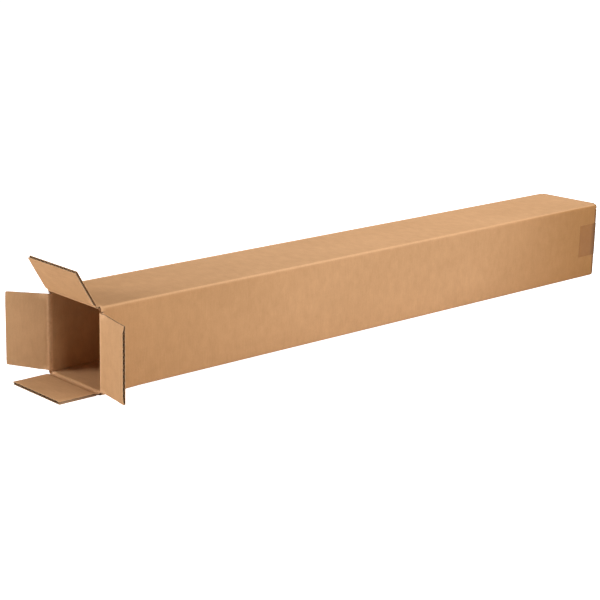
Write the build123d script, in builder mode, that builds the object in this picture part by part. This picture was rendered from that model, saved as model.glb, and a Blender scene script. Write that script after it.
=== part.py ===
from build123d import *
from math import cos, radians, sin
import os

# Long square carton of single-wall corrugated board, made from one scored and slotted sheet.
# It lies on a long wall with its open end towards -X and its taped end towards +X.
# The origin is the centre of the lower wall's outer face, and +Z is up.
# All sizes are in millimetres and all angles in degrees.

os.makedirs("parts", exist_ok=True)

# Carton
INSIDE = 101.6  # clear width and height, 4 in
INSIDE_LENGTH = 914.4  # clear length with both ends shut, 36 in
BOARD = 4.0  # thickness of C flute board
FOLD_RADIUS = 4.0  # outside of the four long folds
LAP_WIDTH = 35.0  # glue lap under the upper wall, along the back fold
LAP_THICKNESS = 3.0  # the lap is pressed thinner by the gluing
LAP_TAPER = 10.0  # how far each end of the lap is cut back across its width

# Flaps and slots
FLAP_LENGTH = 54.6  # the outer flaps meet at the seam of a shut end
SLOT = 8.0  # width of the slots between neighbouring flaps
SLOT_OVERCUT = 2.0  # how far the slots run past the deeper score
INNER_FLAP_TAPER = 1.75  # each side of an inner flap leans in by this much over its length
LAYER_GAP = 0.4  # between the inner and outer flaps of a shut end

# Board
LINER = 0.5
MEDIUM = 0.4
FLUTE_PITCH = 7.8
FLUTE_TIP_RADIUS = 0.9
GLUE_LINE = 0.4  # width of a flute tip where it is glued to a liner
SCORE_BAND = 9.0  # width beside a score in which the flutes are crushed shut

# Creases that swing
AXIS_OFFSET = 0.2  # how far a crease's axis lies outside the board's outer face
CREASE_GAP = 0.3  # from the axis to the board on either side

# How far each near flap stands open past the line of its wall
TOP_OPENING = 59.0
BACK_OPENING = 52.0
BOTTOM_OPENING = 0.0
FRONT_OPENING = 82.0

# Closing tape
TAPE_WIDTH = 48.0
TAPE_THICKNESS = 0.2
TAPE_TAIL = 38.0  # length of each end turned onto a wall
TAPE_RISE = 5.0  # the tape was laid this much above the seam
TAPE_BEND = 1.0  # radius in which the tape turns, just clear of each edge under it

# Worked out from the sizes above
OUTSIDE = INSIDE + 2 * BOARD
HALF = OUTSIDE / 2
FLAP_WIDTH = OUTSIDE - BOARD - SLOT
CORNER = (OUTSIDE - FLAP_WIDTH) / 2
SHUT_LAYERS = 2 * BOARD + LAYER_GAP
FAR_OUTER = INSIDE_LENGTH / 2 + SHUT_LAYERS  # outer face of the outer flaps of the shut end
FAR_INNER = FAR_OUTER - BOARD - LAYER_GAP  # outer face of the inner flaps of the shut end
NEAR_OUTER = -FAR_OUTER - AXIS_OFFSET  # crease of the upper and lower flaps
NEAR_INNER = NEAR_OUTER + BOARD + LAYER_GAP  # crease of the front and back flaps
NEAR_END = NEAR_OUTER + CREASE_GAP

MID_HEIGHT = (0, HALF)  # centre of the square section, in a plane across the carton


def crease_bevel(edge_x, skin, inward):
    """Triangle that a 45 degree relief takes off board that starts at a crease."""
    with BuildSketch() as bevel:
        with BuildLine():
            Polyline(
                (edge_x, skin),
                (edge_x, skin + inward * BOARD),
                (edge_x + BOARD, skin + inward * BOARD),
                close=True,
            )
        make_face()
    return bevel.sketch


# The sheet, folded round and glued, with its far end shut
with BuildPart() as box_body:
    # Section across the carton: sketch x is +Y, sketch y is +Z
    with BuildSketch(Plane.YZ.offset(NEAR_END)) as section:
        with Locations(MID_HEIGHT):
            Rectangle(OUTSIDE, OUTSIDE)
        folds = section.vertices().sort_by(Axis((0, 0, 0), (1, 1, 0)))[:-1]
        fillet(folds, radius=FOLD_RADIUS)
        with Locations(MID_HEIGHT):
            Rectangle(INSIDE, INSIDE, mode=Mode.SUBTRACT)
        # Glued corner: the back wall folds under the upper wall, whose raw edge stays square
        under = OUTSIDE - BOARD
        with BuildLine():
            RadiusArc((HALF, under - LAP_THICKNESS), (HALF - LAP_THICKNESS, under), -LAP_THICKNESS)
            Polyline((HALF - LAP_THICKNESS, under), (HALF, under), (HALF, under - LAP_THICKNESS))
        make_face(mode=Mode.SUBTRACT)
        # The raw edge was cut through a flute, so it shows a groove between the liners
        with BuildLine():
            Polyline(
                (HALF, under + LINER),
                (HALF, OUTSIDE - LINER - MEDIUM),
                (HALF - FLUTE_PITCH / 2, under + LINER),
                close=True,
            )
        make_face(mode=Mode.SUBTRACT)
    extrude(amount=FAR_OUTER - NEAR_END)

    # Glue lap on the inner face of the upper wall, with both ends cut back
    lap_end = INSIDE_LENGTH / 2 - SLOT_OVERCUT
    with BuildSketch(Plane.XY.offset(OUTSIDE - BOARD)):
        with BuildLine():
            Polyline(
                (-lap_end, INSIDE / 2),
                (lap_end, INSIDE / 2),
                (lap_end - LAP_TAPER, INSIDE / 2 - LAP_WIDTH),
                (LAP_TAPER - lap_end, INSIDE / 2 - LAP_WIDTH),
                close=True,
            )
        make_face()
    extrude(amount=-LAP_THICKNESS)

    # Slots between the flaps at both ends
    slot_depth = BOARD + LAYER_GAP + SLOT_OVERCUT
    for end_x, into in ((NEAR_OUTER, slot_depth), (FAR_OUTER, -slot_depth)):
        with BuildSketch(Plane.YZ.offset(end_x)):
            with Locations(MID_HEIGHT):
                with GridLocations(OUTSIDE - CORNER, OUTSIDE - CORNER, 2, 2):
                    Rectangle(CORNER, CORNER)
        extrude(amount=into, mode=Mode.SUBTRACT)

    # Near end: the side walls stop a board's thickness short, then all four get their relief
    with BuildSketch(Plane.YZ.offset(NEAR_OUTER)):
        with Locations(MID_HEIGHT):
            with GridLocations(OUTSIDE - BOARD, 0, 2, 1):
                Rectangle(BOARD, FLAP_WIDTH)
    extrude(amount=NEAR_INNER + CREASE_GAP - NEAR_OUTER, mode=Mode.SUBTRACT)
    with BuildSketch(Plane.XY.offset(HALF)):
        add(crease_bevel(NEAR_INNER + CREASE_GAP, -HALF, 1))
        add(crease_bevel(NEAR_INNER + CREASE_GAP, HALF, -1))
    extrude(amount=FLAP_WIDTH / 2, both=True, mode=Mode.SUBTRACT)
    with BuildSketch(Plane.XZ):
        add(crease_bevel(NEAR_END, 0, 1))
        add(crease_bevel(NEAR_END, OUTSIDE, -1))
    extrude(amount=FLAP_WIDTH / 2, both=True, mode=Mode.SUBTRACT)

    # Far end: the side walls stop a board's thickness short and turn into the inner flaps
    with BuildSketch(Plane.YZ.offset(FAR_INNER)):
        with Locations(MID_HEIGHT):
            with GridLocations(OUTSIDE - BOARD, 0, 2, 1):
                Rectangle(BOARD, FLAP_WIDTH)
    extrude(amount=FAR_OUTER - FAR_INNER, mode=Mode.SUBTRACT)
    with BuildSketch(Plane.YZ.offset(FAR_INNER)):
        for side in (-1, 1):
            with BuildLine():
                Polyline(
                    (side * HALF, HALF - FLAP_WIDTH / 2),
                    (side * HALF, HALF + FLAP_WIDTH / 2),
                    (side * (HALF - FLAP_LENGTH), HALF + FLAP_WIDTH / 2 - INNER_FLAP_TAPER),
                    (side * (HALF - FLAP_LENGTH), HALF - FLAP_WIDTH / 2 + INNER_FLAP_TAPER),
                    close=True,
                )
            make_face()
    extrude(amount=-BOARD)
    # The outer flaps fold over them from above and below and meet at the seam
    with BuildSketch(Plane.YZ.offset(FAR_OUTER)):
        with Locations((0, FLAP_LENGTH / 2), (0, OUTSIDE - FLAP_LENGTH / 2)):
            Rectangle(FLAP_WIDTH, FLAP_LENGTH)
    extrude(amount=-BOARD)
    outer_folds = box_body.edges().filter_by(Axis.Y).group_by(Axis.X)[-1].sort_by(Axis.Z)
    fillet((outer_folds[0], outer_folds[-1]), radius=FOLD_RADIUS / 2)
    inner_folds = (
        box_body.edges()
        .filter_by(Axis.Z)
        .filter_by_position(Axis.X, FAR_INNER - LAYER_GAP / 2, FAR_INNER + LAYER_GAP / 2)
        .sort_by(Axis.Y)
    )
    fillet((inner_folds[0], inner_folds[-1]), radius=FOLD_RADIUS / 2)

box_body.part.label = "box_body"
export_step(box_body.part, "parts/box_body.step")


# Hollow between a flute and a liner, with its rounded tip down and its base on the x axis
with BuildSketch() as hollow:
    half_base = (FLUTE_PITCH - GLUE_LINE) / 2
    depth = BOARD - 2 * LINER - MEDIUM
    with BuildLine():
        Polyline((-half_base, 0), (half_base, 0), (0, -depth), close=True)
    make_face()
    fillet(hollow.vertices().sort_by(Axis.Y)[0], radius=FLUTE_TIP_RADIUS)


def near_flap(name, crease_x, wall_out, opening, taper):
    """One flap of the open end, standing open by an angle past the line of its wall.

    crease_x and wall_out say which wall it belongs to: where its crease is along the carton,
    and the wall's outward direction. taper is how far each side leans in over the length.
    """
    outward = Vector(*wall_out)
    mouthward = Vector(-1, 0, 0)
    along = mouthward * cos(radians(opening)) + outward * sin(radians(opening))
    inward = mouthward * sin(radians(opening)) - outward * cos(radians(opening))
    axis = Vector(crease_x, 0, HALF) + outward * (HALF + AXIS_OFFSET)
    outer_face = Plane(origin=axis + inward * AXIS_OFFSET, x_dir=along, z_dir=inward)
    side = Plane(origin=axis, x_dir=along, z_dir=along.cross(inward))
    cut_edge = Plane(origin=axis + along * FLAP_LENGTH, x_dir=inward.cross(along), z_dir=along)
    hollows_across = int(FLAP_WIDTH / FLUTE_PITCH) + 1

    with BuildPart() as flap:
        with BuildSketch(outer_face):
            with BuildLine():
                Polyline(
                    (CREASE_GAP, -FLAP_WIDTH / 2),
                    (FLAP_LENGTH, -FLAP_WIDTH / 2 + taper),
                    (FLAP_LENGTH, FLAP_WIDTH / 2 - taper),
                    (CREASE_GAP, FLAP_WIDTH / 2),
                    close=True,
                )
            make_face()
        extrude(amount=BOARD)
        # Relief on the inner side of the crease, so that the flap can fold shut
        with BuildSketch(side):
            add(crease_bevel(CREASE_GAP, AXIS_OFFSET, 1))
        extrude(amount=FLAP_WIDTH, both=True, mode=Mode.SUBTRACT)
        # Open flutes in the cut edge: hollows under the inner liner, and between them hollows
        # over the outer liner, which stand half a pitch to the side
        with BuildSketch(cut_edge):
            with Locations((0, AXIS_OFFSET + BOARD - LINER)):
                with GridLocations(FLUTE_PITCH, 0, hollows_across, 1):
                    add(hollow.sketch)
            with Locations((0, AXIS_OFFSET + LINER)):
                with GridLocations(FLUTE_PITCH, 0, hollows_across + 1, 1):
                    add(hollow.sketch, rotation=180)
        extrude(amount=SCORE_BAND - FLAP_LENGTH, mode=Mode.SUBTRACT)

    flap.part.label = name
    export_step(flap.part, f"parts/{name}.step")
    return flap.part


near_flap("top_flap", NEAR_OUTER, (0, 0, 1), TOP_OPENING, 0)
near_flap("bottom_flap", NEAR_OUTER, (0, 0, -1), BOTTOM_OPENING, 0)
near_flap("front_flap", NEAR_INNER, (0, -1, 0), FRONT_OPENING, INNER_FLAP_TAPER)
near_flap("back_flap", NEAR_INNER, (0, 1, 0), BACK_OPENING, INNER_FLAP_TAPER)


# Tape over the far seam, bridging the corner notches, with both ends turned onto the walls
with BuildPart() as closing_tape:
    with BuildSketch(Plane.XY.offset(HALF + TAPE_RISE - TAPE_WIDTH / 2)):
        with BuildLine():
            FilletPolyline(
                (FAR_INNER - TAPE_TAIL, HALF),
                (FAR_INNER, HALF),
                (FAR_OUTER, FLAP_WIDTH / 2 + TAPE_BEND),
                (FAR_OUTER, -FLAP_WIDTH / 2 - TAPE_BEND),
                (FAR_INNER, -HALF),
                (FAR_INNER - TAPE_TAIL, -HALF),
                radius=TAPE_BEND,
            )
            offset(amount=TAPE_THICKNESS, side=Side.LEFT)
        make_face()
    extrude(amount=TAPE_WIDTH)

closing_tape.part.label = "closing_tape"
export_step(closing_tape.part, "parts/closing_tape.step")
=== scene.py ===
# %% [markdown]
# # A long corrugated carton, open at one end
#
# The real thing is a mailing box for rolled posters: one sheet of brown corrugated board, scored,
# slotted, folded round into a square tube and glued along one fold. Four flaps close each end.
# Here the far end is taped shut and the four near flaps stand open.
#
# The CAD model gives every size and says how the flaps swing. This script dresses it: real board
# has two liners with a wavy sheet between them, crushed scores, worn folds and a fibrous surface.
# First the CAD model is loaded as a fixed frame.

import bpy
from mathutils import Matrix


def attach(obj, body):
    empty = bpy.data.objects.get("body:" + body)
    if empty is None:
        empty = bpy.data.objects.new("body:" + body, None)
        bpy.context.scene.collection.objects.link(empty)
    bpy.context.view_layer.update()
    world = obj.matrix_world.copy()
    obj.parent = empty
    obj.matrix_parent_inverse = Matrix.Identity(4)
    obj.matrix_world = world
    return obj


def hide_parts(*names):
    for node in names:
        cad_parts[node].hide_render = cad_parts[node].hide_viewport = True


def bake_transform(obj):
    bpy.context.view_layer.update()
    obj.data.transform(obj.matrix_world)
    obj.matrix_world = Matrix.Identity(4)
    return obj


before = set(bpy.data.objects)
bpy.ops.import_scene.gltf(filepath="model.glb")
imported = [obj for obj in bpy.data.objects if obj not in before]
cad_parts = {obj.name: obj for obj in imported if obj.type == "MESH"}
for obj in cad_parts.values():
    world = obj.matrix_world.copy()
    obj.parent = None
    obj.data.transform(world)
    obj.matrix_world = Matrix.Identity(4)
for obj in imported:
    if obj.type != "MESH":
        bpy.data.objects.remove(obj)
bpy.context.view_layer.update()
print("CAD nodes:", sorted(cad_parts))

# %% The libraries
from math import cos, pi, radians, sin

import bmesh
import bpy
import numpy as np
from mathutils import Matrix, Vector, noise

print("version", bpy.app.version_string)

# %% [markdown]
# ## Sizes
#
# The carton lies along X with its open end towards -X, its front wall towards -Y, and its lower
# wall on z = 0. All sizes are given in millimetres and turned to metres by one factor.
# The upper and lower flaps are the outer ones. Their creases lie a little further out than those of
# the front and back flaps, because they close last, on top of the other two.

# %% Sizes of the carton
MM = 0.001
TOLERANCE = MM / 10  # two places closer than this count as the same
OUTSIDE = 109.6 * MM  # outer height and width of the square tube
HALF = OUTSIDE / 2
BOARD = 4.0 * MM  # C flute board
FLUTE_PITCH = 7.8 * MM
WALL_END = 459.4 * MM  # the walls end this far from the middle, and the flaps' board starts
CREASE = {"outer": 465.8 * MM, "inner": 461.4 * MM}  # and this far out the flaps fold
KIND = {"top": "outer", "bottom": "outer", "front": "inner", "back": "inner"}
print("walls", round(2 * WALL_END / MM, 1), "mm long, tube", round(OUTSIDE / MM, 1), "mm square")

# %% [markdown]
# ## Materials
#
# Each surface of the carton is paper in some state. One small function adds a node with its own
# settings and its inputs, which are numbers, colours or other nodes' outputs. Colours are written
# as the hex values seen on screen, and turned to the linear values that the renderer works with.

# %% Colours and nodes
# A Mix node keeps sockets for numbers, vectors and colours. These are the places of its colours.
COLOUR_A, COLOUR_B, MIXED = 6, 7, 2


def linear(hex_colour):
    """The linear colour with its alpha for an sRGB hex value."""
    parts = [int(hex_colour[i : i + 2], 16) / 255 for i in (0, 2, 4)]
    return [c / 12.92 if c <= 0.04045 else ((c + 0.055) / 1.055) ** 2.4 for c in parts] + [1.0]


def add_node(owner, kind, settings=None, inputs=None):
    """Adds one node to a material or sky. A socket given as an input is linked, the rest is set."""
    node = owner.node_tree.nodes.new(kind)
    for name, value in (settings or {}).items():
        setattr(node, name, value)
    for name, value in (inputs or {}).items():
        if isinstance(value, bpy.types.NodeSocket):
            owner.node_tree.links.new(value, node.inputs[name])
        else:
            node.inputs[name].default_value = value
    return node


def blank_material(name):
    """A material with no nodes."""
    material = bpy.data.materials.new(name)
    material.use_nodes = True
    material.node_tree.nodes.clear()
    return material


def finish_material(material, shader):
    """Links the shader to the material's output."""
    add_node(material, "ShaderNodeOutputMaterial", None, {"Surface": shader.outputs[0]})
    print("material", material.name, "has", len(material.node_tree.nodes), "nodes")


# %% [markdown]
# ### Kraft liner
#
# The brown faces are kraft linerboard: unbleached softwood fibre, pressed and dried on a paper
# machine. It is matt, with a soft grain. Fibres lie mostly along the web, and the flutes run across
# the web, so on this box the fibre streaks go round the tube and the flutes run along it.
# The pattern reads "sheet_place", the place of each point on the flat sheet before it was folded,
# so it runs on round every fold of the tube.
#
# Real fibres are 0.03 mm wide and 3 mm long, too fine for this render, so the streaks are drawn as
# bundles 2 mm wide and 16 mm long, and the grain as 1.6 mm specks. Clouds and a slow drift of tone
# come from uneven pulp. A picture of paper would need a file and would repeat, and noise doesn't.

# %% Streaks, grain, clouds and drift
KRAFT_DARK, KRAFT_PALE = "AC8258", "D0A175"
KRAFT_PATTERNS = {  # size along the carton and round it in mm, detail, share of the tone
    "streaks": (2.0, 16, 2.0, 0.34),
    "grain": (1.6, 2.4, 3.0, 0.33),
    "clouds": (12, 17, 2.0, 0.50),
    "drift": (170, 90, 1.0, 0.45),
}
PATTERN_DEPTH = 12 * MM  # the size of every pattern in the third direction
kraft = blank_material("kraft_linerboard")
sheet_place = add_node(kraft, "ShaderNodeAttribute", {"attribute_name": "sheet_place"})
tone = 0.5
pattern = {}
for name, (along, around, detail, share) in KRAFT_PATTERNS.items():
    stretched = add_node(kraft, "ShaderNodeMapping", None, {
        "Vector": sheet_place.outputs["Vector"],
        "Scale": (1 / (along * MM), 1 / (around * MM), 1 / PATTERN_DEPTH),
    })
    pattern[name] = add_node(kraft, "ShaderNodeTexNoise", {"noise_dimensions": "3D"}, {
        "Vector": stretched.outputs["Vector"], "Scale": 1.0, "Detail": detail, "Roughness": 0.55,
    })
    centred = add_node(kraft, "ShaderNodeMath", {"operation": "MULTIPLY_ADD"}, {
        0: pattern[name].outputs[0], 1: share, 2: -share / 2,
    })
    tone = add_node(kraft, "ShaderNodeMath", {"operation": "ADD"}, {
        0: tone, 1: centred.outputs[0],
    }).outputs[0]
paper = add_node(kraft, "ShaderNodeMix", {"data_type": "RGBA"}, {
    "Factor": tone, COLOUR_A: linear(KRAFT_DARK), COLOUR_B: linear(KRAFT_PALE),
})
print("kraft patterns:", ", ".join(pattern))

# %% [markdown]
# Three values kept with each piece's points change the paper's colour. The first is high where a
# fold has stretched and rubbed it, showing paler fibres; along the tube's folds it is also a
# painted
# highlight. The second is painted shade: inside, towards the open end, and most of all on the front
# wall towards the taped end. The third is painted shade on the folds of that end and its tape.

# %% Rubbed paper, painted highlight and painted shade
# Pale fibres of rubbed folds, also the painted highlight on the tube's folds; then the tints of
# painted shade, and of painted shade at the taped end
PALE_FIBRE_AND_HIGHLIGHT, PAINTED_SHADE_TINT, END_SHADE_TINT = "E3B489", "CBB88C", "A39C98"


def with_end_shade(material, colour):
    """The colour with its piece's painted shade at the taped end."""
    painted_end_shade = add_node(material, "ShaderNodeAttribute", {"attribute_name": "painted_end_shade"})
    return add_node(material, "ShaderNodeMix", {"data_type": "RGBA", "blend_type": "MULTIPLY"}, {
        "Factor": painted_end_shade.outputs["Fac"], COLOUR_A: colour, COLOUR_B: linear(END_SHADE_TINT),
    }).outputs[MIXED]


wear_and_highlight = add_node(kraft, "ShaderNodeAttribute", {"attribute_name": "wear_and_highlight"})
painted_shade = add_node(kraft, "ShaderNodeAttribute", {"attribute_name": "painted_shade"})
# The grain breaks up both the rubbed places and the painted highlight on the folds
rubbed_and_highlit = add_node(kraft, "ShaderNodeMapRange", None, {  # the grain breaks the rubbed places up
    "Value": pattern["grain"].outputs[0],
    "From Min": 0.3, "From Max": 0.6, "To Min": 0.45, "To Max": 1.0,
})
wear_and_highlight_share = add_node(kraft, "ShaderNodeMath", {"operation": "MULTIPLY"}, {
    0: rubbed_and_highlit.outputs[0], 1: wear_and_highlight.outputs["Fac"],
})
worn_and_highlit_paper = add_node(kraft, "ShaderNodeMix", {"data_type": "RGBA"}, {
    "Factor": wear_and_highlight_share.outputs[0],
    COLOUR_A: paper.outputs[MIXED], COLOUR_B: linear(PALE_FIBRE_AND_HIGHLIGHT),
})
# Painted shade darkens the paper
shaded_paper = add_node(kraft, "ShaderNodeMix", {"data_type": "RGBA", "blend_type": "MULTIPLY"}, {
    "Factor": painted_shade.outputs["Fac"],
    COLOUR_A: worn_and_highlit_paper.outputs[MIXED], COLOUR_B: linear(PAINTED_SHADE_TINT),
})
kraft_colour = with_end_shade(kraft, shaded_paper.outputs[MIXED])
print("kraft nodes so far:", len(kraft.node_tree.nodes))

# %% [markdown]
# The liner sags a little between the flutes it is glued to, which gives the faint washboard of
# corrugated board: a wave with the flutes' own pitch, a few hundredths of a millimetre high.

# %% The liner's relief
WASHBOARD = 0.35  # how strong the wave is against the grain
flat_place = add_node(kraft, "ShaderNodeSeparateXYZ", None, {0: sheet_place.outputs["Vector"]})
flute_angle = add_node(kraft, "ShaderNodeMath", {"operation": "MULTIPLY"}, {
    0: flat_place.outputs["Y"], 1: 2 * pi / FLUTE_PITCH,
})
washboard = add_node(kraft, "ShaderNodeMath", {"operation": "SINE"}, {0: flute_angle.outputs[0]})
relief = add_node(kraft, "ShaderNodeMath", {"operation": "MULTIPLY_ADD"}, {
    0: washboard.outputs[0], 1: WASHBOARD, 2: pattern["grain"].outputs[0],
})
kraft_bump = add_node(kraft, "ShaderNodeBump", None, {
    "Strength": 0.6, "Distance": 0.06 * MM, "Height": relief.outputs[0],
})
kraft_shader = add_node(kraft, "ShaderNodeBsdfPrincipled", None, {
    "Base Color": kraft_colour, "Roughness": 0.82, "IOR": 1.5, "Specular IOR Level": 0.3,
    "Normal": kraft_bump.outputs[0],
})
finish_material(kraft, kraft_shader)

# %% [markdown]
# ### Cut edge
#
# Where a rotary knife has cut the liner, its core shows: paler, rough and fibrous.

# %% The cut edge
EDGE_DARK, EDGE_PALE = "B98F66", "DDB58C"
EDGE_FIBRE = 1.2 * MM
cut_edge = blank_material("cut_liner_edge")
edge_place = add_node(cut_edge, "ShaderNodeTexCoord")
edge_fibre = add_node(cut_edge, "ShaderNodeTexNoise", None, {
    "Vector": edge_place.outputs["Object"], "Scale": 1 / EDGE_FIBRE, "Detail": 3.0,
})
edge_colour = add_node(cut_edge, "ShaderNodeMix", {"data_type": "RGBA"}, {
    "Factor": edge_fibre.outputs[0], COLOUR_A: linear(EDGE_DARK), COLOUR_B: linear(EDGE_PALE),
})
edge_bump = add_node(cut_edge, "ShaderNodeBump", None, {
    "Strength": 0.8, "Distance": 0.1 * MM, "Height": edge_fibre.outputs[0],
})
edge_shader = add_node(cut_edge, "ShaderNodeBsdfPrincipled", None, {
    "Base Color": edge_colour.outputs[MIXED], "Roughness": 0.92, "IOR": 1.5,
    "Specular IOR Level": 0.2, "Normal": edge_bump.outputs[0],
})
finish_material(cut_edge, edge_shader)

# %% [markdown]
# ### Fluting
#
# The wavy sheet inside is fluting medium, made from recycled or semi-chemical pulp, which is duller
# and browner than the liners.

# %% The fluting
FLUTING_DARK, FLUTING_PALE = "8A7056", "AA8C6E"
FLUTING_FIBRE = 2.0 * MM
fluting = blank_material("fluting_medium")
fluting_place = add_node(fluting, "ShaderNodeTexCoord")
fluting_fibre = add_node(fluting, "ShaderNodeTexNoise", None, {
    "Vector": fluting_place.outputs["Object"], "Scale": 1 / FLUTING_FIBRE, "Detail": 3.0,
})
fluting_colour = add_node(fluting, "ShaderNodeMix", {"data_type": "RGBA"}, {
    "Factor": fluting_fibre.outputs[0],
    COLOUR_A: linear(FLUTING_DARK), COLOUR_B: linear(FLUTING_PALE),
})
fluting_shader = add_node(fluting, "ShaderNodeBsdfPrincipled", None, {
    "Base Color": fluting_colour.outputs[MIXED], "Roughness": 0.9, "IOR": 1.5,
    "Specular IOR Level": 0.2,
})
finish_material(fluting, fluting_shader)
BOARD_MATERIALS = (kraft, cut_edge, fluting)
CUT_EDGE, FLUTING = 1, 2  # their places on each piece of board

# %% [markdown]
# ### Closing tape
#
# Tan sealing tape is a thin polypropylene film with adhesive behind it. It is stuck flat to the
# board, so the paper's tone shows through it, darker and redder, and its face is smooth, with a
# soft shine and fine wrinkles along its length.

# %% The tape material
FILM_DARK, FILM_PALE = "85562A", "9A6835"
FILM_CLOUD = 14 * MM
WRINKLE_LENGTH, WRINKLE_WIDTH = 30 * MM, 3 * MM
film = blank_material("tan_polypropylene_film")
film_place = add_node(film, "ShaderNodeTexCoord")
film_clouds = add_node(film, "ShaderNodeTexNoise", None, {
    "Vector": film_place.outputs["Object"], "Scale": 1 / FILM_CLOUD, "Detail": 3.0,
})
film_colour = add_node(film, "ShaderNodeMix", {"data_type": "RGBA"}, {
    "Factor": film_clouds.outputs[0], COLOUR_A: linear(FILM_DARK), COLOUR_B: linear(FILM_PALE),
})
film_stretch = add_node(film, "ShaderNodeMapping", None, {
    "Vector": film_place.outputs["Object"],
    "Scale": (1 / WRINKLE_LENGTH, 1 / WRINKLE_LENGTH, 1 / WRINKLE_WIDTH),
})
film_wrinkles = add_node(film, "ShaderNodeTexNoise", None, {
    "Vector": film_stretch.outputs["Vector"], "Scale": 1.0, "Detail": 2.0,
})
film_bump = add_node(film, "ShaderNodeBump", None, {
    "Strength": 0.5, "Distance": 0.08 * MM, "Height": film_wrinkles.outputs[0],
})
film_shader = add_node(film, "ShaderNodeBsdfPrincipled", None, {
    "Base Color": with_end_shade(film, film_colour.outputs[MIXED]), "Roughness": 0.36, "IOR": 1.5,
    "Specular IOR Level": 0.15, "Normal": film_bump.outputs[0],
})
finish_material(film, film_shader)

# %% [markdown]
# ## Helpers for edit mode
#
# A mesh is shaped as by hand: select something, then use an operator on it. With no mouse, the
# selection is made by a rule on where the middle of a vertex, edge or face is.

# %% Selecting in code
def deselect_everything():
    """Leaves nothing selected, so that the next operator acts on the new piece alone."""
    if bpy.context.object and bpy.context.object.mode != "OBJECT":
        bpy.ops.object.mode_set(mode="OBJECT")
    bpy.ops.object.select_all(action="DESELECT")


def only(piece):
    """Selects one piece and makes it the active one."""
    deselect_everything()
    piece.select_set(True)
    bpy.context.view_layer.objects.active = piece


def pick(piece, kind, rule):
    """In edit mode, selects each VERT, EDGE or FACE for which rule(middle, normal) is true."""
    bpy.ops.mesh.select_mode(type=kind)
    bpy.ops.mesh.select_all(action="DESELECT")
    mesh = bmesh.from_edit_mesh(piece.data)
    for item in {"VERT": mesh.verts, "EDGE": mesh.edges, "FACE": mesh.faces}[kind]:
        if kind == "VERT":
            middle, normal = item.co, item.normal
        elif kind == "EDGE":
            middle, normal = (item.verts[0].co + item.verts[1].co) / 2, None
        else:
            middle, normal = item.calc_center_median(), item.normal
        if rule(middle, normal):
            item.select_set(True)
    mesh.select_flush_mode()
    bmesh.update_edit_mesh(piece.data)


# %% [markdown]
# ## The tube
#
# A plane the size of the upper wall is the start. Its front edge is pulled down the front wall,
# under the carton, up the back wall and in under the upper wall, where the last strip is the glue
# lap: the same order in which the real sheet is folded round. A box with its inside cut out would
# be quicker, but it would have no lap and no raw edge at the glued corner. The fold lines are then
# beveled round, and Solidify gives the board its thickness inwards.

# %% The sheet, pulled round its folds
LAP_REACH = 39.0 * MM  # how far the lap reaches in from the back wall's face
LAP_GAP = 0.05 * MM
LAP_LEVEL = OUTSIDE - BOARD - LAP_GAP
deselect_everything()
bpy.ops.mesh.primitive_plane_add(size=1)
tube = bpy.context.object
tube.name = "carton_board"
for material in BOARD_MATERIALS:
    tube.data.materials.append(material)
bpy.ops.object.mode_set(mode="EDIT")
bpy.ops.transform.resize(value=(2 * WALL_END, OUTSIDE, 1))
bpy.ops.transform.translate(value=(0, 0, OUTSIDE))
pick(tube, "EDGE", lambda m, _: m.y < -HALF + MM)
for pull in ((0, 0, -OUTSIDE), (0, OUTSIDE, 0), (0, 0, LAP_LEVEL), (0, -LAP_REACH, 0)):
    bpy.ops.mesh.extrude_region_move(TRANSFORM_OT_translate={"value": pull})
print("strip of", len(bmesh.from_edit_mesh(tube.data).faces), "panels")

# %% [markdown]
# The three full folds are rounder than the lap's, which was pressed tight by the gluing. Then all
# faces are turned outwards, which tells Solidify the way in.

# %% Rounding the folds
FOLD_RADIUS = 4.2 * MM
LAP_FOLD_RADIUS = 3.2 * MM
FULL_FOLDS = ((-HALF, OUTSIDE), (-HALF, 0), (HALF, 0))  # y and z


def face_outwards(piece, outward):
    """In edit mode, makes all faces agree, with the one furthest outward facing that way."""
    bpy.ops.mesh.select_all(action="SELECT")
    bpy.ops.mesh.normals_make_consistent(inside=False)
    faces = bmesh.from_edit_mesh(piece.data).faces
    furthest = max(faces, key=lambda face: face.calc_center_median().dot(outward))
    if furthest.normal.dot(outward) < 0:
        bpy.ops.mesh.flip_normals()


pick(tube, "EDGE", lambda m, _: any(abs(m.y - y) + abs(m.z - z) < MM for y, z in FULL_FOLDS))
bpy.ops.mesh.bevel(offset=FOLD_RADIUS, segments=5, affect="EDGES")
pick(tube, "EDGE", lambda m, _: abs(m.y - HALF) + abs(m.z - LAP_LEVEL) < MM)
bpy.ops.mesh.bevel(offset=LAP_FOLD_RADIUS, segments=4, affect="EDGES")
face_outwards(tube, Vector((0, 0, 1)))
print("faces after the bevels:", len(bmesh.from_edit_mesh(tube.data).faces))

# %% [markdown]
# The walls need rows of vertices to bow and to be crushed at the scores: widely spaced along the
# middle and close together near both ends. Columns follow the middle of each wall and the sides of
# its flaps. The lap's ends were cut back at a slant.

# %% Rows and columns of vertices
FLAP_WIDTH = 97.6 * MM
SLOT_SIDE = FLAP_WIDTH / 2
COLUMNS = (0, 16 * MM, 32 * MM, SLOT_SIDE - 0.3 * MM, SLOT_SIDE)  # from a wall's middle line
END_ROWS = (458.6, 457.8, 457.0, 456.2, 455.2, 453.0, 448.0)  # mm from the carton's middle
MIDDLE_ROWS = np.linspace(-435, 435, 30)
LAP_CUT_START = (455.2 * MM, 50.8 * MM)  # x and y where the lap's slanted end starts, at the fold
LAP_CUT_RUN = (-10.0 * MM, -35.0 * MM)  # and how it runs on from there


def cut(place, normal):
    """Cuts everything in edit mode along a plane, which adds a row of vertices there."""
    bpy.ops.mesh.select_mode(type="FACE")
    bpy.ops.mesh.select_all(action="SELECT")
    bpy.ops.mesh.bisect(plane_co=place, plane_no=normal)


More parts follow.
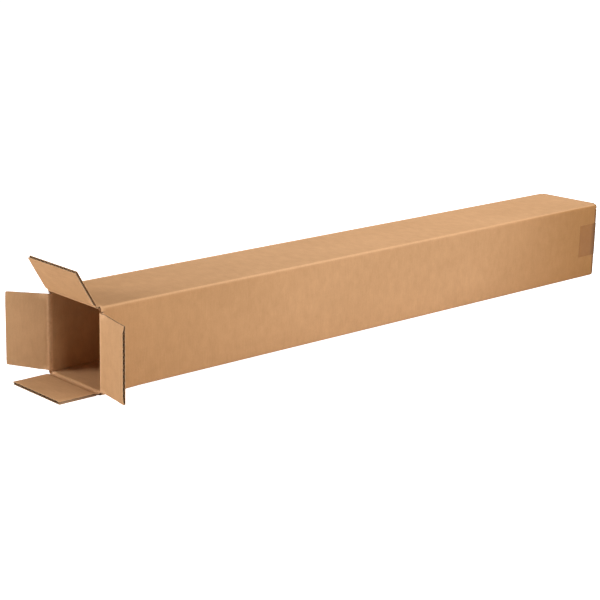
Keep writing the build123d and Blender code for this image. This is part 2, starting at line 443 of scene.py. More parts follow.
for column in COLUMNS:
    for side in (-1, 1) if column else (1,):
        cut((0, side * column, 0), (0, 1, 0))
        cut((0, 0, HALF + side * column), (0, 0, 1))
for end in (-1, 1):
    for row in END_ROWS:
        cut((end * row * MM, 0, 0), (1, 0, 0))
for row in MIDDLE_ROWS:
    cut((row * MM, 0, 0), (1, 0, 0))
for end in (-1, 1):
    pick(tube, "FACE", lambda m, _: abs(m.z - LAP_LEVEL) < TOLERANCE and m.y > HALF - LAP_REACH)
    bpy.ops.mesh.bisect(
        plane_co=(end * LAP_CUT_START[0], LAP_CUT_START[1], LAP_LEVEL),
        plane_no=(end * -LAP_CUT_RUN[1], LAP_CUT_RUN[0], 0),
        clear_outer=True,
    )
bpy.ops.object.mode_set(mode="OBJECT")
print("the sheet has", len(tube.data.polygons), "faces")

# %% [markdown]
# The lap is pressed thinner than the rest of the board. A vertex group says what share of the full
# thickness Solidify gives each point.

# %% Thickness
LAP_THICKNESS = 3.0 * MM


def apply_modifier(piece, kind, **settings):
    """Adds a modifier with its settings and applies it."""
    only(piece)
    modifier = piece.modifiers.new(kind.title(), kind)
    for name, value in settings.items():
        setattr(modifier, name, value)
    bpy.ops.object.modifier_apply(modifier=modifier.name)


lap_points = [
    v.index for v in tube.data.vertices
    if abs(v.co.z - LAP_LEVEL) < TOLERANCE and v.co.y < HALF - MM
]
board_group = tube.vertex_groups.new(name="board")
board_group.add(list(range(len(tube.data.vertices))), 1.0, "REPLACE")
board_group.add(lap_points, LAP_THICKNESS / BOARD, "REPLACE")
apply_modifier(
    tube, "SOLIDIFY", thickness=BOARD, offset=-1, use_even_offset=True,
    vertex_group="board", material_offset_rim=CUT_EDGE,
)
print("the board has", len(tube.data.polygons), "faces")

# %% [markdown]
# The cut edges show a groove between the two liners, where the knife went through a flute: along
# the raw edge of the upper wall at the glued corner, and at the foot of every slot.

# %% Grooves in the cut edges
GROOVE_DEPTH = 2.5 * MM
GROOVE_RIM = 0.5 * MM
FACING = 0.9  # a face looks along an axis if its normal does by this much
only(tube)
bpy.ops.object.mode_set(mode="EDIT")
pick(tube, "FACE", lambda m, n: m.y > HALF - TOLERANCE and m.z > OUTSIDE - BOARD and n.y > FACING)
bpy.ops.mesh.inset(thickness=GROOVE_RIM, depth=0)
bpy.ops.transform.translate(value=(0, -GROOVE_DEPTH, 0))
for end in (-1, 1):
    pick(tube, "FACE", lambda m, n: end * m.x > WALL_END - TOLERANCE and end * n.x > FACING)
    bpy.ops.mesh.inset(thickness=GROOVE_RIM, depth=0)
    bpy.ops.transform.translate(value=(-end * GROOVE_DEPTH, 0, 0))
bpy.ops.object.mode_set(mode="OBJECT")
print("with its grooves the tube has", len(tube.data.polygons), "faces")

# %% [markdown]
# ## Scores
#
# A flap folds along a score: a wheel has crushed the board from its inner side, so both liners come
# close together in a soft valley. No operator does that. It is a soft rule for how far each point
# moves, by its distance from the crease and its height above the board's outer face. The same rule
# shapes the tube and the flaps, so that they meet. The scores of the front and back flaps are
# shallower than those of the upper and lower ones.

# %% How a score crushes the board
LINER = 0.45 * MM
# For each kind of flap: half the score's width, what is left of the board's thickness in the
# crease, and how much the outer liner rises there
SCORES = {"outer": (6.0 * MM, 1.7 * MM, 0.6 * MM), "inner": (4.5 * MM, 3.5 * MM, 0.2 * MM)}


def ease(share):
    """Goes smoothly from 0 to 1 as share does."""
    share = np.clip(share, 0, 1)
    return share * share * (3 - 2 * share)


def crush(kind, distance, height):
    """The height above the outer face that a point takes beside a crease."""
    half_width, left_over, dent = SCORES[kind]
    thick = left_over + (BOARD - left_over) * ease(np.abs(distance) / half_width)
    rise = dent * (1 - ease(2 * np.abs(distance) / half_width))
    room = BOARD - 2 * LINER
    between = np.clip(height - LINER, 0, room) * (thick - 2 * LINER) / room
    return rise + np.minimum(height, LINER) + between + np.maximum(height - BOARD + LINER, 0)


for kind in SCORES:
    left = round(float(crush(kind, 0.0, BOARD)) / MM, 2)
    print("an", kind, "flap's crease stands", left, "mm over the outer face")

# %% [markdown]
# ## Bowed walls
#
# No wall of a real carton is quite flat. The front and back bulge a little, the top sags, and each
# has slow waves along its length. Near both ends the scores and the flaps keep the walls straight.
# The tape has to follow the same bow, so it is a rule too.

# %% How the walls bow
# How far out each wall's middle line stands, and the seed of its waves
BOW = {
    "front": (0.5 * MM, 5), "back": (0.5 * MM, 4), "top": (-0.5 * MM, 3), "bottom": (-0.2 * MM, 6),
}
BOW_WAVE = 110 * MM
BOW_WAVINESS = 0.8
HELD_LENGTH = 60 * MM


def ripple(places, size, seed):
    """Smooth, fixed unevenness from -1 to 1 at each place, with bumps about size apart."""
    shift = Vector((seed * 7.3, seed * 3.1, seed * 5.7))
    return np.array([noise.noise(Vector(p) / size + shift) for p in places])


def wall_bow(wall, x, across):
    """How far out a wall stands at x, and at a distance across from its middle line."""
    bow, seed = BOW[wall]
    crown = np.clip(1 - (across / (HALF - BOARD)) ** 2, 0, 1)
    free = ease((WALL_END - np.abs(x)) / HELD_LENGTH)
    waves = ripple(np.column_stack([x, across, 0 * x]), BOW_WAVE, seed)
    return bow * crown * free * (1 + BOW_WAVINESS * waves)


middle_bow = wall_bow("front", np.zeros(1), np.zeros(1))
print("the middle of the front wall bows by", round(float(middle_bow[0]) / MM, 2), "mm")

# %% [markdown]
# The tube's points are read as one array, moved by the two rules and written back.

# %% Bowing and crushing the tube
# The axis that goes through each wall, and the way out along it
AXES = {"front": (1, -1), "back": (1, 1), "bottom": (2, -1), "top": (2, 1)}


def points_of(piece):
    """All points of a piece as an array with one row each."""
    found = np.empty(len(piece.data.vertices) * 3)
    piece.data.vertices.foreach_get("co", found)
    return found.reshape(-1, 3)


points = points_of(tube)
x, y, z = points.T
depths = np.array([y + HALF, HALF - y, z, OUTSIDE - z])  # below each wall's face, as in AXES
wall_of = np.array(list(AXES))[np.argmin(depths, axis=0)]
depth = np.min(depths, axis=0)
shaped = points.copy()
for wall, (axis, out) in AXES.items():
    mine = wall_of == wall
    across = (y if KIND[wall] == "outer" else z - HALF)[mine]
    if KIND[wall] == "inner":
        scored = np.abs(across) < SLOT_SIDE + TOLERANCE
        crushed = crush("inner", CREASE["inner"] - np.abs(x[mine]), depth[mine])
        shaped[mine, axis] -= out * np.where(scored, crushed - depth[mine], 0)
    shaped[mine, axis] += out * wall_bow(wall, x[mine], across)
print("largest move", round(float(np.abs(shaped - points).max() / MM), 2), "mm")

# %% [markdown]
# The slots between the flaps end near the creases, so at the four folds the tube runs on between
# the flaps' roots as far as the slots' feet.

# %% The slots' feet
NEAR_SLOT_FOOT = 463.6 * MM
FAR_SLOT_FOOT = 460.8 * MM
STRETCHED = (448 * MM, 456 * MM)  # the board is stretched out between these, and moved beyond
TUCKED_IN = 0.12 * MM  # so that the flaps' roots lie on top
TUCK_STARTS = (454 * MM, 457 * MM)


def ramp(value, start, stop):
    """Goes smoothly from 0 at start to 1 at stop."""
    return ease((value - start) / (stop - start))


def move_points(piece, moved):
    """Writes a piece's points back."""
    piece.data.vertices.foreach_set("co", np.asarray(moved, float).ravel())
    piece.data.update()


at_fold = (np.abs(y) > SLOT_SIDE - TOLERANCE) & (np.abs(z - HALF) > SLOT_SIDE - TOLERANCE)
run_on = np.where(x < 0, WALL_END - NEAR_SLOT_FOOT, FAR_SLOT_FOOT - WALL_END)
shaped[:, 0] += at_fold * run_on * ramp(np.abs(x), *STRETCHED)
tuck = at_fold * TUCKED_IN * ramp(-x, *TUCK_STARTS)
shaped[:, 1] -= np.sign(y) * tuck
shaped[:, 2] -= np.sign(z - HALF) * tuck
move_points(tube, shaped)
print("points moved out at the folds:", int(np.sum(at_fold & (np.abs(x) > STRETCHED[0] + MM))))

# %% [markdown]
# The tube's points are given their place on the flat sheet: how far along the carton, and how far
# round it from the upper front fold. A third number keeps the inner face's pattern apart.

# %% The tube's place on the flat sheet
INNER_FACE = 0.5  # metres to a part of the pattern that no outer face uses


def girth(wall, y, z):
    """Distance round the carton from the upper front fold."""
    return {
        "front": OUTSIDE - z,
        "bottom": OUTSIDE + HALF + y,
        "back": 2 * OUTSIDE + z,
        "top": -(y + HALF),
    }[wall]


def keep_value(piece, name, kind, values):
    """Stores a number or vector for each point, for the materials to read."""
    attribute = piece.data.attributes.new(name, kind, "POINT")
    field = "vector" if kind == "FLOAT_VECTOR" else "value"
    attribute.data.foreach_set(field, np.ravel(values).astype(np.float32))


around = np.zeros(len(x))
for wall in AXES:
    mine = wall_of == wall
    around[mine] = girth(wall, y[mine], z[mine])
on_sheet = np.column_stack([x, around, (depth > BOARD / 2) * INNER_FACE])
keep_value(tube, "sheet_place", "FLOAT_VECTOR", on_sheet)
print("the sheet goes", round(float(np.ptp(around)) / MM), "mm round the carton")

# %% [markdown]
# Handling has rubbed the folds of the tube and a highlight is painted along them, both stronger at
# the open end than at the taped one, and the knives have torn the paper at the feet of the near
# slots.

# %% Where the tube is rubbed, given a painted highlight, and torn
FOLD_LINES = np.array([[-HALF, OUTSIDE], [-HALF, 0], [HALF, 0], [HALF, OUTSIDE]])  # y and z
# The wear along the tube's folds is also a painted highlight
FOLD_WEAR_AND_HIGHLIGHT = (3.2 * MM, 1.2 * MM)  # how far from a fold the wear starts, and where it is full
FAR_WEAR_AND_HIGHLIGHT = 0.3  # what is left of it at the taped end
TORN = 0.9
TORN_AT = (453 * MM, 458 * MM)
to_fold = np.min(np.linalg.norm(points[:, None, 1:] - FOLD_LINES[None], axis=2), axis=1)
along = (x + WALL_END) / (2 * WALL_END)
fold_wear_and_highlight = (1 - (1 - FAR_WEAR_AND_HIGHLIGHT) * along) * (depth < BOARD / 2) * ramp(to_fold, *FOLD_WEAR_AND_HIGHLIGHT)
torn = TORN * at_fold * ramp(-x, *TORN_AT)
worn_and_highlit = np.maximum(fold_wear_and_highlight, torn)
keep_value(tube, "wear_and_highlight", "FLOAT", worn_and_highlit)
print("rubbed or torn points:", int(np.sum(worn_and_highlit > 0)), "of", len(points))

# %% [markdown]
# Next comes painted shade: the paper is darker inside, towards the open end, and most of all on the
# front wall towards the taped end. That end is outlined by a dark line of painted shade on its
# folds.

# %% Where the tube's paper gets painted shade
# Shares of painted shade: inside, towards the open end, and on the front wall towards the taped end
INSIDE_PAINTED_SHADE = {"front": 0.15, "back": 0.15, "top": 0.15, "bottom": 0.0}
MOUTH_PAINTED_SHADE = 0.36
MOUTH_SHADE_FROM = {"front": 40 * MM, "back": 160 * MM, "top": 160 * MM, "bottom": 160 * MM}
MOUTH_SHADE_OVER = 400 * MM
FAR_PAINTED_SHADE = 0.88
FAR_SHADE_AT = (130 * MM, 510 * MM)
# Painted shade on the folds of the taped end starts and is full at these x
END_SHADE_AT = (455.5 * MM, 460.0 * MM)


def end_shade_share(places):
    """How much painted shade lies on the folds of the taped end."""
    return ramp(places[:, 0], *END_SHADE_AT)


# Painted shade along the carton and inside it
painted_shade_level = np.zeros(len(x))
for wall in AXES:
    mine = wall_of == wall
    start = MOUTH_SHADE_FROM[wall]
    painted_shade_level[mine] = MOUTH_PAINTED_SHADE * ramp(-x[mine], start, start + MOUTH_SHADE_OVER)
    if wall == "front":
        painted_shade_level[mine] += FAR_PAINTED_SHADE * ramp(x[mine], *FAR_SHADE_AT)
    painted_shade_level[mine & (depth > BOARD / 2)] = INSIDE_PAINTED_SHADE[wall]
keep_value(tube, "painted_shade", "FLOAT", painted_shade_level)
# Painted shade on the outer faces at the taped end, on the top wall only at its folds
in_end_shade = (depth < BOARD / 2) & ((wall_of != "top") | at_fold)
keep_value(tube, "painted_end_shade", "FLOAT", end_shade_share(points) * in_end_shade)
print("darkest brown", round(float(painted_shade_level.max()), 2))

# %% [markdown]
# ## The flaps
#
# All eight flaps are one pattern: a short piece of wall, the score and the flap. Each is built flat
# as the board itself is: an outer liner, a wavy medium and an inner liner. A plate with stripes on
# its edge would do from far away, but only real layers show open flutes from near by. A grid gets
# the flap's size and is cut into rows, close together at the score.

# %% One layer of board, lying flat
FLAP_LENGTH = 54.6 * MM
FLAP_ROWS = (  # mm from the crease, inwards and then out along the flap
    5.2, 4.2, 3.4, 2.7, 2.0, 1.5, 1.0, 0.5, 0, -0.5, -1.0, -1.5, -2.0, -2.7, -3.4, -4.2, -5.2,
    -6.4, -12, -20, -28, -36, -44, -50,
)
ROW_GAP = 0.3 * MM  # no row is nearer to the layer's end than this


def flat_layer(name, stub, columns, level):
    """A sheet from stub inside the crease to the flap's edge, at a height above the outer face."""
    deselect_everything()
    bpy.ops.mesh.primitive_grid_add(x_subdivisions=1, y_subdivisions=columns, size=1)
    layer = bpy.context.object
    layer.name = name
    for material in BOARD_MATERIALS:
        layer.data.materials.append(material)
    bpy.ops.object.mode_set(mode="EDIT")
    bpy.ops.transform.resize(value=(stub + FLAP_LENGTH, FLAP_WIDTH, 1))
    bpy.ops.transform.translate(value=((stub - FLAP_LENGTH) / 2, 0, level))
    for row in FLAP_ROWS:
        if row * MM < stub - ROW_GAP:
            cut((row * MM, 0, 0), (1, 0, 0))
    return layer


# %% [markdown]
# For the medium, the grid's columns are lifted in turn to the heights of a wave, so its open flutes
# show in the flap's outer edge. Solidify then gives each layer its thickness, and the three are
# joined. One blank serves the upper and lower flaps, and one the front and back flaps.

# %% Blanks of three layers
MEDIUM = 0.3 * MM
COLUMNS_PER_FLUTE = 8
FLUTE_COLUMNS = 100
LINER_COLUMNS = 12


def flap_blank(name, stub):
    """A whole flap of three layers, lying flat with its crease on the Y axis."""
    medium = flat_layer("medium", stub, FLUTE_COLUMNS, 0)
    step = FLAP_WIDTH / FLUTE_COLUMNS
    low = LINER + MEDIUM / 2
    rise = BOARD - 2 * low
    for phase in range(COLUMNS_PER_FLUTE):
        height = low + rise * (1 - cos(2 * pi * phase / COLUMNS_PER_FLUTE)) / 2
        pick(medium, "VERT",
             lambda m, _: round((m.y + FLAP_WIDTH / 2) / step) % COLUMNS_PER_FLUTE == phase)
        bpy.ops.transform.translate(value=(0, 0, height))
    bpy.ops.object.mode_set(mode="OBJECT")
    for face in medium.data.polygons:
        face.material_index = FLUTING
    apply_modifier(medium, "SOLIDIFY", thickness=MEDIUM, offset=0, use_even_offset=True)
    liners = []
    for part, level in (("outer", LINER), ("inner", BOARD)):
        liners.append(flat_layer(part, stub, LINER_COLUMNS, level))
        bpy.ops.object.mode_set(mode="OBJECT")
        apply_modifier(liners[-1], "SOLIDIFY", thickness=LINER, offset=-1,
                       material_offset_rim=CUT_EDGE)
    only(medium)
    for liner in liners:
        liner.select_set(True)
    bpy.ops.object.join()
    medium.name = name
    return medium


blanks = {kind: flap_blank(f"{kind}_flap_blank", CREASE[kind] - WALL_END) for kind in CREASE}
print({kind: len(blank.data.polygons) for kind, blank in blanks.items()}, "faces")

# %% [markdown]
# A copy of the blank becomes a flap in four steps. First its sides are cut and its score is
# crushed. Slots are cut fast and never quite on the folds. The photograph shows the upper flap a
# little nearer the front, the front and back flaps a little low, and the back flap's lower side
# leaning in most. The slotting knives have also pressed the sides of the board together.

# %% Cutting and crushing a flap
# For each flap, in mm: how far its slots are off centre, and how far its two sides lean in
SLOTS_CUT = {
    "bottom": (-0.9, 0.0, 0.4),
    "front": (1.5, 1.9, -0.3),
    "top": (2.0, 0.5, -0.5),
    "back": (-1.5, 3.6, 0.6),
}
# How far each flap's sides are pressed together, as a share of the board
SIDES_CRUSHED = {"bottom": 0.1, "front": 0.5, "top": 0.0, "back": 0.3}
CRUSHED_FROM = 6 * MM  # fully this far out from the crease
SIDE_WAVER, EDGE_WAVER = 0.4 * MM, 0.2 * MM  # how unevenly the knives cut
WAVER_SIZE = 9 * MM
SIDES_APART = 100 * MM  # the two sides take their unevenness from places twice this far apart


def cut_and_crush(flat, wall, seed):
    """The points of a flat flap after its sides were cut and its score was crushed."""
    reach, side = -flat[:, 0], flat[:, 1] / SLOT_SIDE
    outwards = np.clip(reach / FLAP_LENGTH, 0, 1)
    uneven = ripple(np.column_stack([reach, side * SIDES_APART, 0 * side]), WAVER_SIZE, seed)
    off_centre, lean_low, lean_high = SLOTS_CUT[wall]
    lean = np.where(side < 0, lean_low, lean_high) * np.abs(side) * outwards
    cut_out = flat.copy()
    cut_out[:, 1] += (off_centre - np.sign(side) * lean) * MM
    cut_out[:, 1] -= side**7 * SIDE_WAVER * (1 + uneven) * (reach > 0)
    cut_out[:, 0] += EDGE_WAVER * (1 + uneven) * outwards**9
    on_side = np.clip(1 - (1 - np.abs(side)) * LINER_COLUMNS / 2, 0, 1)  # the outermost column
    pressed = SIDES_CRUSHED[wall] * on_side * ramp(reach, 0, CRUSHED_FROM)
    cut_out[:, 2] = crush(KIND[wall], reach, flat[:, 2]) * (1 - pressed)
    return cut_out


# %% [markdown]
# Next it is bent open about the crease.

# %% Bending a flap open
AXIS_OFFSET = 0.2 * MM  # the crease's axis lies this far outside the board
BEND_HALF = {"outer": 2.8 * MM, "inner": 1.9 * MM}  # half of what is bent, along the board


def bend_open(flap_points, reach, kind, opening):
    """The points turned about the crease by the opening in degrees."""
    bend = radians(opening) * ramp(reach, -BEND_HALF[kind], BEND_HALF[kind])
    out = -flap_points[:, 0]
    above = flap_points[:, 2] + AXIS_OFFSET
    bent = flap_points.copy()
    bent[:, 0] = -(out * np.cos(bend) + above * np.sin(bend))
    bent[:, 2] = above * np.cos(bend) - out * np.sin(bend) - AXIS_OFFSET
    return bent


# %% [markdown]
# Then its paper gets its place on the flat sheet, its wear and its painted shade. The near flaps
# are rubbed along the crease and torn at the roots of their sides. The near upper and front flaps
# and all flaps of the taped end get an even painted shade, and the front and back ones of the taped
# end get more painted shade where they turn round the corner.

# %% The paper of a flap
CREASE_RUB = 0.45
CREASE_RUB_AT = (4.5 * MM, 0.75 * MM)  # how far from the crease it starts, and where it is full
SIDE_TEAR_AT = (16 * MM, 16 / 3 * MM)
SIDE_STARTS = 0.97  # of half the flap's width
# Even painted shade on the near flaps, and on every flap of the taped end
FLAP_PAINTED_SHADE = {"bottom": 0.0, "front": 0.12, "top": 0.25, "back": 0.0}
FAR_FLAP_PAINTED_SHADE = 0.3
# Painted shade on the taped end's front and back flaps: none this far from the crease, full at it
FLAP_END_SHADE_AT = (6 * MM, 0)


def keep_paper(flap, flat, wall, end):
    """Stores where a flap lies on the flat sheet, how rubbed it is, and its painted shade."""
    reach, side = -flat[:, 0], flat[:, 1] / SLOT_SIDE
    across = flat[:, 1]
    y, z = {"front": (0, HALF + across), "back": (0, HALF - across)}.get(wall, (across, 0))
    inner_face = (flat[:, 2] > BOARD / 2) * INNER_FACE
    on_sheet = np.column_stack([end * (CREASE[KIND[wall]] + reach), girth(wall, y, z), inner_face])
    keep_value(flap, "sheet_place", "FLOAT_VECTOR", on_sheet)
    rubbed_crease = CREASE_RUB * ramp(np.abs(reach), *CREASE_RUB_AT)
    torn_side = TORN * (np.abs(side) > SIDE_STARTS) * ramp(np.abs(reach), *SIDE_TEAR_AT)
    keep_value(flap, "wear_and_highlight", "FLOAT", np.maximum(rubbed_crease, torn_side) * (end < 0))
    painted_shade_level = FLAP_PAINTED_SHADE[wall] if end < 0 else FAR_FLAP_PAINTED_SHADE
    keep_value(flap, "painted_shade", "FLOAT", np.full(len(flat), painted_shade_level))
    in_end_shade = end > 0 and KIND[wall] == "inner"
    keep_value(flap, "painted_end_shade", "FLOAT", in_end_shade * ramp(reach, *FLAP_END_SHADE_AT))


# %% [markdown]
# Last, it is turned to its own wall and its own end of the carton. The half turn to the taped end
# brings the flap that is called front there to the back wall, and the back one to the front.

# %% Standing a flap at its place
TURN = {"bottom": 0, "front": -90, "top": 180, "back": 90}  # degrees about X from the lower wall


def stand_flap(name, wall, end, opening, seed):
    """Makes one flap. end is -1 at the open end and 1 at the taped end."""
    kind = KIND[wall]
    only(blanks[kind])
    bpy.ops.object.duplicate()
    flap = bpy.context.object
    flap.name = name
    flat = points_of(flap)
    move_points(flap, bend_open(cut_and_crush(flat, wall, seed), -flat[:, 0], kind, opening))
    keep_paper(flap, flat, wall, end)
    flap.data.transform(
        Matrix.Translation((0, 0, HALF))
        @ Matrix.Rotation(pi if end > 0 else 0, 4, "Z")
        @ Matrix.Rotation(radians(TURN[wall]), 4, "X")
        @ Matrix.Translation((-CREASE[kind], 0, -HALF))
    )
    only(flap)
    bpy.ops.object.shade_smooth_by_angle(angle=radians(50))
    return flap


# %% The four open flaps
OPENINGS = {"top": 59, "back": 52, "bottom": 0, "front": 82}  # degrees out from the wall's line
open_flaps = {}
for seed, (wall, opening) in enumerate(OPENINGS.items(), 1):
    open_flaps[wall] = stand_flap(f"{wall}_flap_board", wall, -1, opening, seed)
    print(open_flaps[wall].name, len(open_flaps[wall].data.polygons), "faces")

# %% [markdown]
# The four flaps of the taped end are folded shut, and they are joined to the tube, because they
# never move. The whole is then lifted a little: the carton in the photograph is slightly twisted.
# Its upper front fold climbs from the open end to the taped one, and its lower front fold stands
# off the floor, most of all just behind the open end.

# %% How the tube is twisted
UPPER_CLIMB = 2.2 * MM
LOWER_LIFT = 1.4 * MM
LIFT_START = 60 * MM
LIFT_LOSS = 0.6  # the share of the lower lift that is gone at the taped end


def twist_lift(places):
    """How far the slightly twisted tube lifts each point."""
    x, y, z = places.T
    along = np.clip((x + WALL_END) / (2 * WALL_END), 0, 1)
    upper = UPPER_CLIMB * along * z / OUTSIDE
    risen = ease((x + WALL_END) / LIFT_START) * (1 - LIFT_LOSS * along)
    lower = LOWER_LIFT * risen * (1 - z / OUTSIDE)
    return (upper + lower) * (HALF - y) / OUTSIDE


# %% The taped end, joined and twisted with the tube
far_flaps = [
    stand_flap(f"far_{wall}_flap", wall, 1, -90, seed) for seed, wall in enumerate(TURN, 11)
]
for blank in blanks.values():
    bpy.data.objects.remove(blank)
only(tube)
bpy.ops.object.shade_smooth_by_angle(angle=radians(40))
for flap in far_flaps:
    flap.select_set(True)
bpy.ops.object.join()
points = points_of(tube)
points[:, 2] += twist_lift(points)
move_points(tube, points)
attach(tube, "carton")
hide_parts("box_body")
print("tube with its closed end:", len(tube.data.polygons), "faces")

# %% [markdown]
# Each open flap's placing is baked into its points, and the CAD model's flap is hidden.

# %% The open flaps
for wall, flap in open_flaps.items():
    kind = KIND[wall]
    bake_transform(flap)
    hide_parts(f"{wall}_flap")
print("swinging flaps:", ", ".join(open_flaps))

# %% [markdown]
# ## Closing tape
#
# One strip goes from the front wall across the closed end to the back wall. It starts as a grid on
# the front wall and is pulled round the end edge by edge. Shrinkwrap could lay it on too, but it
# would press the film into the notch at each corner, which real film bridges.

# %% The tape's strip
TAPE_WIDTH = 48 * MM
TAPE_MIDDLE = HALF + 2 * MM
TAPE_LIFT = 0.02 * MM
TEETH = 24
TAIL_END = 423.4 * MM  # x of the tape's two ends
TAIL_LENGTH = 38 * MM
LEAVES_WALL = TAIL_END + TAIL_LENGTH
END_FACE = 465.6 * MM
LANDS = 50 * MM  # on the end face, this far to each side of its middle
ROUTE = (  # x and y
    (LEAVES_WALL, -HALF), (END_FACE, -LANDS), (END_FACE, LANDS),
    (LEAVES_WALL, HALF), (TAIL_END, HALF),
)
deselect_everything()
bpy.ops.mesh.primitive_grid_add(x_subdivisions=1, y_subdivisions=2 * TEETH, size=1)
tape = bpy.context.object
tape.name = "closing_tape_film"
tape.data.materials.append(film)
bpy.ops.object.mode_set(mode="EDIT")
bpy.ops.transform.rotate(value=pi / 2, orient_axis="X", center_override=(0, 0, 0))
bpy.ops.transform.resize(value=(TAIL_LENGTH, 1, TAPE_WIDTH))
bpy.ops.transform.translate(value=(TAIL_END + TAIL_LENGTH / 2, -HALF - TAPE_LIFT, TAPE_MIDDLE))
pick(tape, "EDGE", lambda m, _: m.x > LEAVES_WALL - TOLERANCE)
for here, there in zip(ROUTE, ROUTE[1:]):
    pull = (there[0] - here[0], there[1] - here[1], 0)
    bpy.ops.mesh.extrude_region_move(TRANSFORM_OT_translate={"value": pull})
print("tape faces", len(bmesh.from_edit_mesh(tape.data).faces))

# %% [markdown]
# A few rows more let the strip follow the bowed and twisted walls. A dispenser's blade has cut both
# of its ends into small teeth.

# %% Its rows, teeth and bow
TOOTH = 1.1 * MM
TAIL_ROWS = (450 * MM, 436 * MM)
cut((END_FACE, 0, 0), (0, 1, 0))
for row in TAIL_ROWS:
    cut((row, 0, 0), (1, 0, 0))
bpy.ops.object.mode_set(mode="OBJECT")
points = points_of(tape)
tooth = np.round((points[:, 2] - TAPE_MIDDLE) / (TAPE_WIDTH / (2 * TEETH))).astype(int) % 2
points[:, 0] += TOOTH * tooth * (points[:, 0] < TAIL_END + TOLERANCE)
for wall, out in (("front", -1), ("back", 1)):
    mine = np.abs(points[:, 1] - out * HALF) < TOLERANCE
    bow = wall_bow(wall, points[mine, 0], points[mine, 2] - HALF)
    points[mine, 1] += out * (bow + TAPE_LIFT)
points[:, 2] += twist_lift(points)
move_points(tape, points)
print("teeth at each end:", TEETH)

# %% [markdown]
# The film gets its thickness outwards. Painted shade lies on its corners and not on the end face.

# %% Its thickness and painted shade
TAPE_THICKNESS = 0.12 * MM
CORNER_STARTS = 52 * MM  # from the middle of the end face
keep_value(tape, "painted_end_shade", "FLOAT", end_shade_share(points) * (np.abs(points[:, 1]) > CORNER_STARTS))
only(tape)
bpy.ops.object.mode_set(mode="EDIT")
face_outwards(tape, Vector((0, -1, 0)))
bpy.ops.object.mode_set(mode="OBJECT")
apply_modifier(tape, "SOLIDIFY", thickness=TAPE_THICKNESS, offset=1, use_even_offset=True)
bpy.ops.object.shade_smooth_by_angle(angle=radians(30))
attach(tape, "carton")
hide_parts("closing_tape")
print("tape", len(tape.data.polygons), "faces")

# %% [markdown]
# ## Camera
#
# The photograph was taken from the open end, above and to the front. The camera's place, turn and
# lens were worked out from the carton's long edges and the corners of its flaps.

# %% The camera
CAMERA_PLACE = Vector((-1583.53, -1603.93, 650.55)) * MM
YAW, PITCH, ROLL = radians(42.803), radians(15.513), radians(-1.381)
FOCAL_PIXELS, FRAME_PIXELS = 1697.25, 600
forward = Vector((sin(YAW) * cos(PITCH), cos(YAW) * cos(PITCH), -sin(PITCH)))
level_right = Vector((cos(YAW), -sin(YAW), 0))
down = forward.cross(level_right)
right = level_right * cos(ROLL) + down * sin(ROLL)
up = level_right * sin(ROLL) - down * cos(ROLL)
camera_data = bpy.data.cameras.new("camera")
camera_data.sensor_width = 36
camera_data.lens = FOCAL_PIXELS * camera_data.sensor_width / FRAME_PIXELS
camera = bpy.data.objects.new("camera", camera_data)
bpy.context.collection.objects.link(camera)
turned = Matrix((right, up, -forward)).transposed().to_4x4()
camera.matrix_world = Matrix.Translation(CAMERA_PLACE) @ turned
bpy.context.scene.camera = camera
print("lens", round(camera_data.lens, 1), "mm")

# %% [markdown]
# ## Studio
#
# A pale floor, a very faint even sky and three softboxes. The floor takes the carton's shadow and
# throws light back up. To camera, mirror and glass rays the floor also glows and the sky is white,
# so that both render like the photograph's white background without lighting the carton's paper.

# %% The floor
FLOOR_GREY = (0.8, 0.8, 0.8, 1)
WHITE = (1, 1, 1, 1)
FLOOR_GLOW = 0.95
FLOOR_SIZE = 60  # metres
FLOOR_DROP = 0.1 * MM


def looked_at(owner):
    """A socket that is 1 for camera, mirror and glass rays, and 0 for those that gather light."""
    ray = add_node(owner, "ShaderNodeLightPath")
    seen = ray.outputs["Is Camera Ray"]
    for other in ("Is Glossy Ray", "Is Transmission Ray"):
        either = add_node(owner, "ShaderNodeMath", {"operation": "MAXIMUM"}, {
            0: seen, 1: ray.outputs[other],
        })
        seen = either.outputs[0]
    return seen


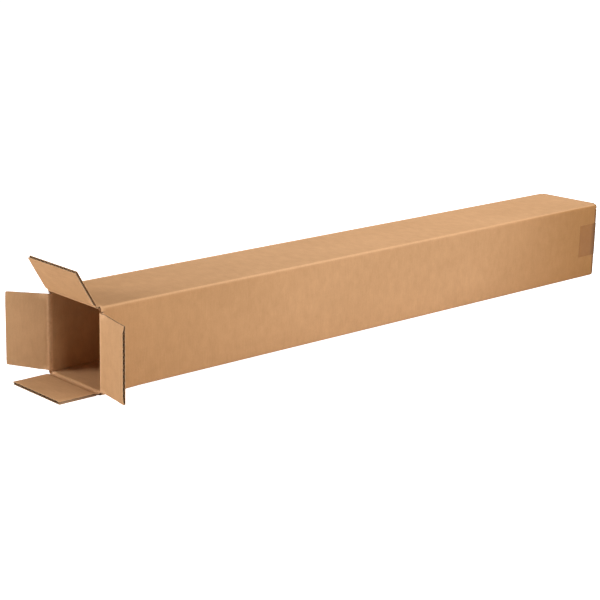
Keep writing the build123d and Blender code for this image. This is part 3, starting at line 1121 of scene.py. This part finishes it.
floor_paper = blank_material("white_floor_paper")
floor_diffuse = add_node(floor_paper, "ShaderNodeBsdfDiffuse", None, {
    "Color": FLOOR_GREY, "Roughness": 0.5,
})
glow_strength = add_node(floor_paper, "ShaderNodeMath", {"operation": "MULTIPLY"}, {
    0: looked_at(floor_paper), 1: FLOOR_GLOW,
})
glow = add_node(floor_paper, "ShaderNodeEmission", None, {
    "Color": WHITE, "Strength": glow_strength.outputs[0],
})
floor_shader = add_node(floor_paper, "ShaderNodeAddShader", None, {
    0: floor_diffuse.outputs[0], 1: glow.outputs[0],
})
finish_material(floor_paper, floor_shader)
deselect_everything()
bpy.ops.mesh.primitive_plane_add(size=FLOOR_SIZE, location=(0, 0, -FLOOR_DROP))
floor = bpy.context.object
floor.name = "floor"
floor.data.materials.append(floor_paper)

# %% The sky
SKY_STRENGTH = 0.024
world = bpy.data.worlds.new("soft_sky")
world.use_nodes = True
world.node_tree.nodes.clear()
sky_level = add_node(world, "ShaderNodeMapRange", None, {
    "Value": looked_at(world), "To Min": SKY_STRENGTH, "To Max": 1.0,
})
sky = add_node(world, "ShaderNodeBackground", None, {
    "Color": WHITE, "Strength": sky_level.outputs[0],
})
add_node(world, "ShaderNodeOutputWorld", None, {"Surface": sky.outputs[0]})
bpy.context.scene.world = world
print("sky nodes:", len(world.node_tree.nodes))

# %% [markdown]
# The large softbox stands in front, a smaller one hangs above the taped half, and one behind the
# open end shines into the flaps.

# %% The softboxes
def softbox(name, place, aim, size, power):
    """A square lamp of that size in metres and power in watts, at a place and facing a point."""
    lamp_data = bpy.data.lights.new(name, "AREA")
    lamp_data.size = size
    lamp_data.energy = power
    lamp = bpy.data.objects.new(name, lamp_data)
    bpy.context.collection.objects.link(lamp)
    lamp.location = place
    lamp.rotation_euler = (Vector(aim) - Vector(place)).to_track_quat("-Z", "Y").to_euler()


softbox("front_softbox", place=(-0.1, -2.4, 1.5), aim=(0, 0, 0.05), size=2.0, power=75.6)
softbox("top_softbox", place=(0.4, 0.1, 1.3), aim=(0.4, 0, 0.1), size=0.8, power=11.5)
softbox("mouth_softbox", place=(-1.7, 0.9, 0.45), aim=(-0.5, 0, 0.05), size=0.7, power=26)
bpy.context.scene.view_settings.view_transform = "Standard"
print("lamps:", len(bpy.data.lights))
